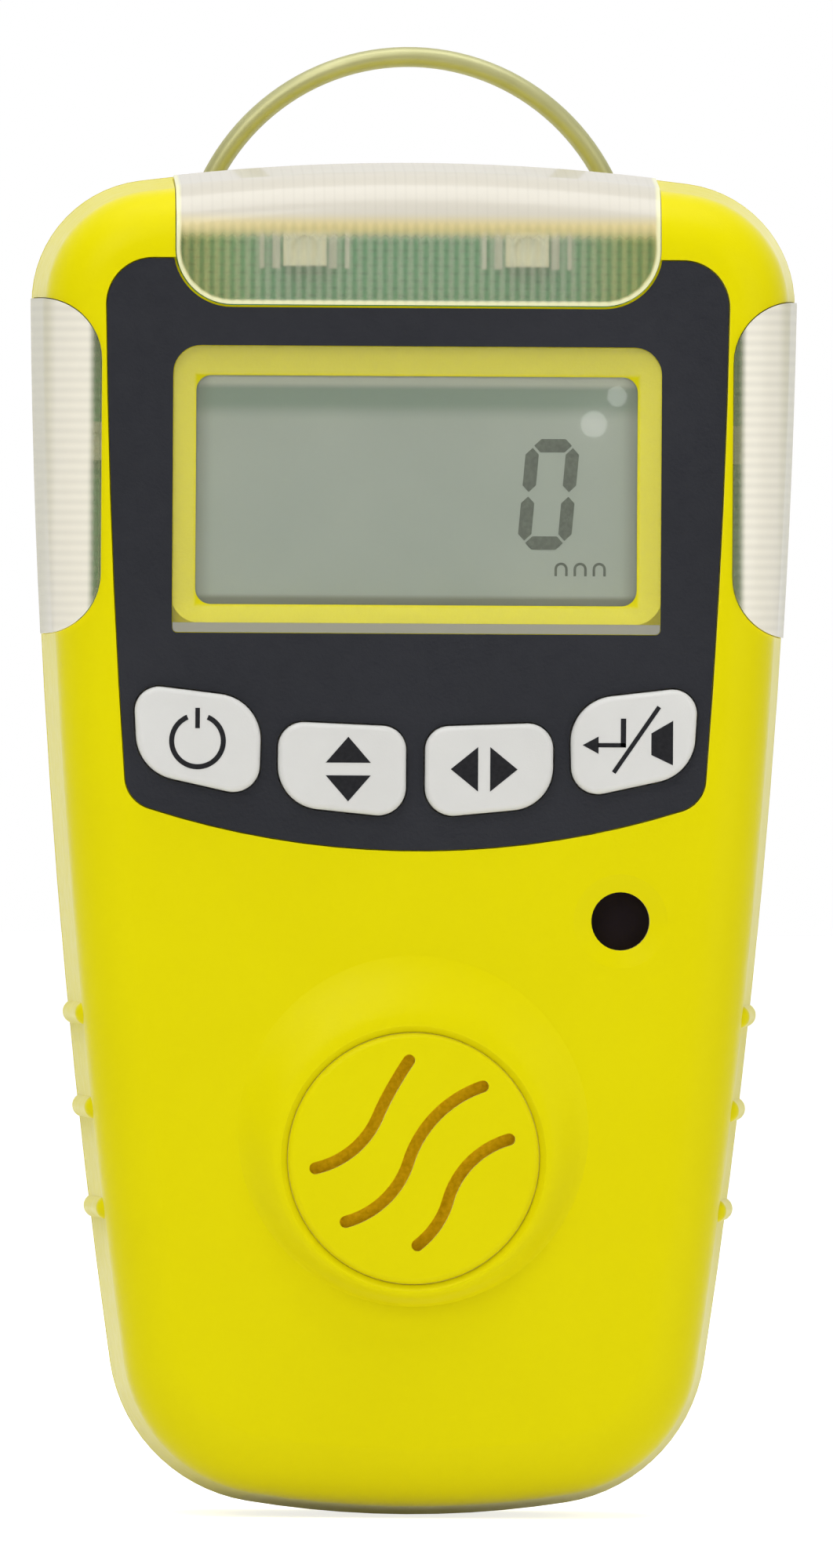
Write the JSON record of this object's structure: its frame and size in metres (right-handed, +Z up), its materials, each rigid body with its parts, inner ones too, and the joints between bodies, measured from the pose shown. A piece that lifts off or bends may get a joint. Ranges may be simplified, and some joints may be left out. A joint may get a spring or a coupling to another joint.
{
  "type": "portable gas detector",
  "caption": "Hand-sized portable gas detector: tapered yellow case, display and keys on a black panel, clear alarm lenses, round slotted sensor boss, wire bail and belt clip.",
  "frame": {"origin": "bottom centre of the whole object's box, at the lowest point of the case", "axes": "+X to the right, front faces -Y, +Z up along the case"},
  "size_m": [0.0604, 0.0423, 0.116],
  "materials": {
    "yellow_plastic": "satin moulded plastic",
    "panel_black": "fine-textured printed overlay",
    "window_clear": "clear polycarbonate",
    "lens_clear": "clear ribbed polycarbonate",
    "lcd_grey": "reflective liquid crystal glass",
    "frame_black": "moulded",
    "backlight_white": "diffuser",
    "connector_rubber": "elastomer strip",
    "button_grey": "satin silicone with printed icons",
    "plunger_black": "moulded",
    "led_body": "cream ceramic with clear dome",
    "board_green": "solder mask",
    "steel": "stainless",
    "clip_steel": "brushed stainless sheet",
    "spring_steel": "spring wire",
    "bail_wire": "polished wire",
    "seal_rubber": "silicone",
    "plug_rubber": "soft rubber",
    "foam_black": "foam and mesh",
    "filter_tan": "sintered membrane",
    "sensor_white": "moulded",
    "gold": "plated pins",
    "tungsten": "sintered",
    "battery_wrap": "shrink sleeve",
    "connector_white": "moulded",
    "lead_red": "insulated wire",
    "lead_black": "insulated wire",
    "label_silver": "blank foil label"
  },
  "bodies": {
    "root": {"front_cover": "yellow_plastic", "rear_cover": "yellow_plastic", "sensor_cap": "yellow_plastic", "control_panel": "panel_black", "display_window": "window_clear", "top_lens": "lens_clear", "left_lens": "lens_clear", "right_lens": "lens_clear", "lcd_glass": "lcd_grey", "lcd_frame": "frame_black", "tact_switches": "frame_black", "board_header": "frame_black", "buzzer": "frame_black", "board_chips": "frame_black", "sensor_sockets": "frame_black", "lcd_backlight": "backlight_white", "lcd_connector": "connector_rubber", "top_leds": "led_body", "side_leds": "led_body", "main_board": "board_green", "sensor_board": "board_green", "case_screws": "steel", "board_screws": "steel", "sensor_board_screws": "steel", "clip_screw": "steel", "clip_pin": "steel", "charge_socket": "steel", "vibration_motor": "steel", "clip_plate": "clip_steel", "clip_spring": "spring_steel", "case_gasket": "seal_rubber", "sensor_gasket": "seal_rubber", "motor_cradle": "seal_rubber", "battery_pad": "foam_black", "buzzer_membrane": "foam_black", "dust_filter": "filter_tan", "gas_sensor": "sensor_white", "sensor_pins": "gold", "battery_pack": "battery_wrap", "battery_connector": "connector_white", "battery_lead_red": "lead_red", "battery_lead_black": "lead_black", "rear_label": "label_silver"},
    "power_button_body": {"power_button": "button_grey", "power_plunger": "plunger_black"},
    "up_down_button_body": {"up_down_button": "button_grey", "up_down_plunger": "plunger_black"},
    "left_right_button_body": {"left_right_button": "button_grey", "left_right_plunger": "plunger_black"},
    "enter_mute_button_body": {"enter_mute_button": "button_grey", "enter_mute_plunger": "plunger_black"},
    "bail": {"hanging_bail": "bail_wire"},
    "clip_lever": {"clip_jaw": "clip_steel"},
    "plug": {"port_plug": "plug_rubber"},
    "motor_rotor": {"motor_shaft": "steel", "eccentric_weight": "tungsten"}
  },
  "joints": [
    {"name": "power_press", "type": "slide", "parent": "root", "child": "power_button_body", "axis": [0, 1, 0], "range_m": [0, 0.0005], "stiffness_N_per_m": 1500},
    {"name": "up_down_press", "type": "slide", "parent": "root", "child": "up_down_button_body", "axis": [0, 1, 0], "range_m": [0, 0.0005], "stiffness_N_per_m": 1500},
    {"name": "left_right_press", "type": "slide", "parent": "root", "child": "left_right_button_body", "axis": [0, 1, 0], "range_m": [0, 0.0005], "stiffness_N_per_m": 1500},
    {"name": "enter_mute_press", "type": "slide", "parent": "root", "child": "enter_mute_button_body", "axis": [0, 1, 0], "range_m": [0, 0.0005], "stiffness_N_per_m": 1500},
    {"name": "bail_swing", "type": "hinge", "parent": "root", "child": "bail", "pos_m": [0, 0.01235, 0.0968], "axis": [1, 0, 0], "range_deg": [-180, 0]},
    {"name": "clip_open", "type": "hinge", "parent": "root", "child": "clip_lever", "pos_m": [0, 0.014, 0.062], "axis": [1, 0, 0], "range_deg": [0, 18], "stiffness_Nm_per_rad": 0.2, "springref_deg": -17.19, "deforming": ["clip_spring"]},
    {"name": "plug_open", "type": "hinge", "parent": "root", "child": "plug", "pos_m": [-0.0056, 0.0039, 0.00093], "axis": [0, 1, 0], "range_deg": [0, 90]},
    {"name": "motor_spin", "type": "hinge", "parent": "root", "child": "motor_rotor", "pos_m": [-0.0186, -0.00215, 0.033], "axis": [0, 0, 1], "continuous": true}
  ]
}
